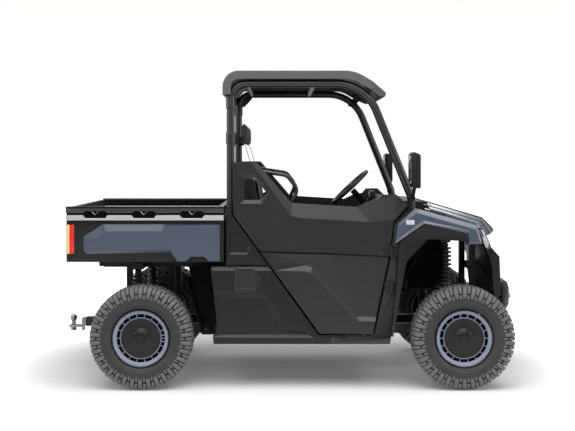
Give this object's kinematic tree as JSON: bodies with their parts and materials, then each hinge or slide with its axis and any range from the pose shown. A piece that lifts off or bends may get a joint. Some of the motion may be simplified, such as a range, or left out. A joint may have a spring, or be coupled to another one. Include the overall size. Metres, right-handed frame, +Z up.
{
  "type": "side by side utility vehicle",
  "caption": "Four-wheeled utility vehicle with a bench seat in an open tube cage, low doors, a flat roof, a tilting cargo bed with a tailgate and knobbly tyres.",
  "frame": {"origin": "on the ground under the middle of the whole vehicle, wheels standing on z = 0", "axes": "+X forward, +Y to the left side where the driver sits, +Z up"},
  "size_m": [3.182, 1.88, 2.0836],
  "materials": {
    "charcoal_plastic": "grained",
    "slate_paint": "satin",
    "roof_plastic": "matt",
    "black_frame": "satin",
    "spring_steel": "satin",
    "black_plastic": "grained",
    "cast_case": "cast",
    "rail_metal": "brushed",
    "rim_metal": "satin",
    "tyre_rubber": "matt",
    "seat_vinyl": "grained",
    "belt_webbing": "woven",
    "wheel_grip": "grained",
    "lamp_lens": "clear",
    "tail_lens": "gloss"
  },
  "bodies": {
    "chassis": {"arch_flares": "charcoal_plastic", "battery_pack": "black_plastic", "cab_floor": "black_plastic", "chassis_frame": "black_frame", "coilovers": "spring_steel", "dashboard": "black_plastic", "drive_shafts": "black_frame", "drive_units": "cast_case", "front_bumper": "black_frame", "front_fascia": "charcoal_plastic", "front_fenders": "slate_paint", "front_subframe": "black_frame", "headlamps": "lamp_lens", "headrests": "seat_vinyl", "hip_bars": "black_frame", "pedals": "black_frame", "rack_case": "black_frame", "rear_knuckles": "black_frame", "rear_subframe": "black_frame", "roll_cage": "black_frame", "roof_panel": "roof_plastic", "seat_backs": "seat_vinyl", "seat_belts": "belt_webbing", "seat_cushions": "seat_vinyl", "side_mirrors": "black_plastic", "side_panels": "charcoal_plastic", "skid_plate": "black_plastic", "steering_column": "black_frame", "suspension_arms": "black_frame", "tow_ball_mount": "black_frame", "wheel_liners": "black_plastic"},
    "bed": {"cargo_bed": "black_plastic", "bed_rails": "rail_metal", "bed_side_panels": "slate_paint", "tail_lamps": "tail_lens"},
    "tailgate": {"tailgate": "black_plastic"},
    "hood": {"hood": "slate_paint"},
    "door_right": {"door_right": "charcoal_plastic"},
    "door_left": {"door_left": "charcoal_plastic"},
    "charge_flap": {"charge_flap": "charcoal_plastic"},
    "steering_wheel": {"steering_wheel": "wheel_grip"},
    "steering_rack": {"tie_rods": "black_frame"},
    "knuckle_right": {"knuckle_front_right": "black_frame"},
    "knuckle_left": {"knuckle_front_left": "black_frame"},
    "wheel_front_right": {"tyre_front_right": "tyre_rubber", "rim_front_right": "rim_metal"},
    "wheel_front_left": {"tyre_front_left": "tyre_rubber", "rim_front_left": "rim_metal"},
    "wheel_rear_right": {"tyre_rear_right": "tyre_rubber", "rim_rear_right": "rim_metal"},
    "wheel_rear_left": {"tyre_rear_left": "tyre_rubber", "rim_rear_left": "rim_metal"}
  },
  "joints": [
    {"name": "bed_tilt", "type": "hinge", "parent": "chassis", "child": "bed", "pos_m": [-1.33, 0, 0.8], "axis": [0, -1, 0], "range_deg": [0, 45]},
    {"name": "tailgate_hinge", "type": "hinge", "parent": "bed", "child": "tailgate", "pos_m": [-1.458, 0, 0.838], "axis": [0, -1, 0], "range_deg": [0, 90]},
    {"name": "hood_hinge", "type": "hinge", "parent": "chassis", "child": "hood", "pos_m": [0.925, 0, 1.176], "axis": [0, -1, 0], "range_deg": [0, 50]},
    {"name": "door_right_hinge", "type": "hinge", "parent": "chassis", "child": "door_right", "pos_m": [0.655, -0.752, 0.8], "axis": [0, 0, 1], "range_deg": [0, 65]},
    {"name": "door_left_hinge", "type": "hinge", "parent": "chassis", "child": "door_left", "pos_m": [0.655, 0.752, 0.8], "axis": [0, 0, -1], "range_deg": [0, 65]},
    {"name": "flap_hinge", "type": "hinge", "parent": "chassis", "child": "charge_flap", "pos_m": [-0.363, -0.7406, 0.713], "axis": [0, 0, -1], "range_deg": [0, 90]},
    {"name": "steer_right", "type": "hinge", "parent": "chassis", "child": "knuckle_right", "pos_m": [1.124, -0.59, 0.337], "axis": [0, 0, 1], "range_deg": [-28, 28]},
    {"name": "steer_left", "type": "hinge", "parent": "chassis", "child": "knuckle_left", "pos_m": [1.124, 0.59, 0.337], "axis": [0, 0, 1], "range_deg": [-28, 28]},
    {"name": "steering_wheel_turn", "type": "hinge", "parent": "chassis", "child": "steering_wheel", "pos_m": [0.452, 0.35, 1.288], "axis": [-0.682, 0, 0.7314], "range_deg": [-336, 336]},
    {"name": "rack_slide", "type": "slide", "parent": "chassis", "child": "steering_rack", "axis": [0, 1, 0], "range_m": [-0.0538, 0.0538]},
    {"name": "spin_front_right", "type": "hinge", "parent": "knuckle_right", "child": "wheel_front_right", "pos_m": [1.124, -0.684, 0.337], "axis": [0, 1, 0], "continuous": true},
    {"name": "spin_front_left", "type": "hinge", "parent": "knuckle_left", "child": "wheel_front_left", "pos_m": [1.124, 0.684, 0.337], "axis": [0, 1, 0], "continuous": true},
    {"name": "spin_rear_right", "type": "hinge", "parent": "chassis", "child": "wheel_rear_right", "pos_m": [-0.976, -0.666, 0.337], "axis": [0, 1, 0], "continuous": true},
    {"name": "spin_rear_left", "type": "hinge", "parent": "chassis", "child": "wheel_rear_left", "pos_m": [-0.976, 0.666, 0.337], "axis": [0, 1, 0], "continuous": true}
  ],
  "couplings": [
    {"joint": "steer_left", "follows": "steer_right", "ratio": 1},
    {"joint": "steering_wheel_turn", "follows": "steer_right", "ratio": 12},
    {"joint": "rack_slide", "follows": "steer_right", "m_per_rad": -0.11}
  ]
}
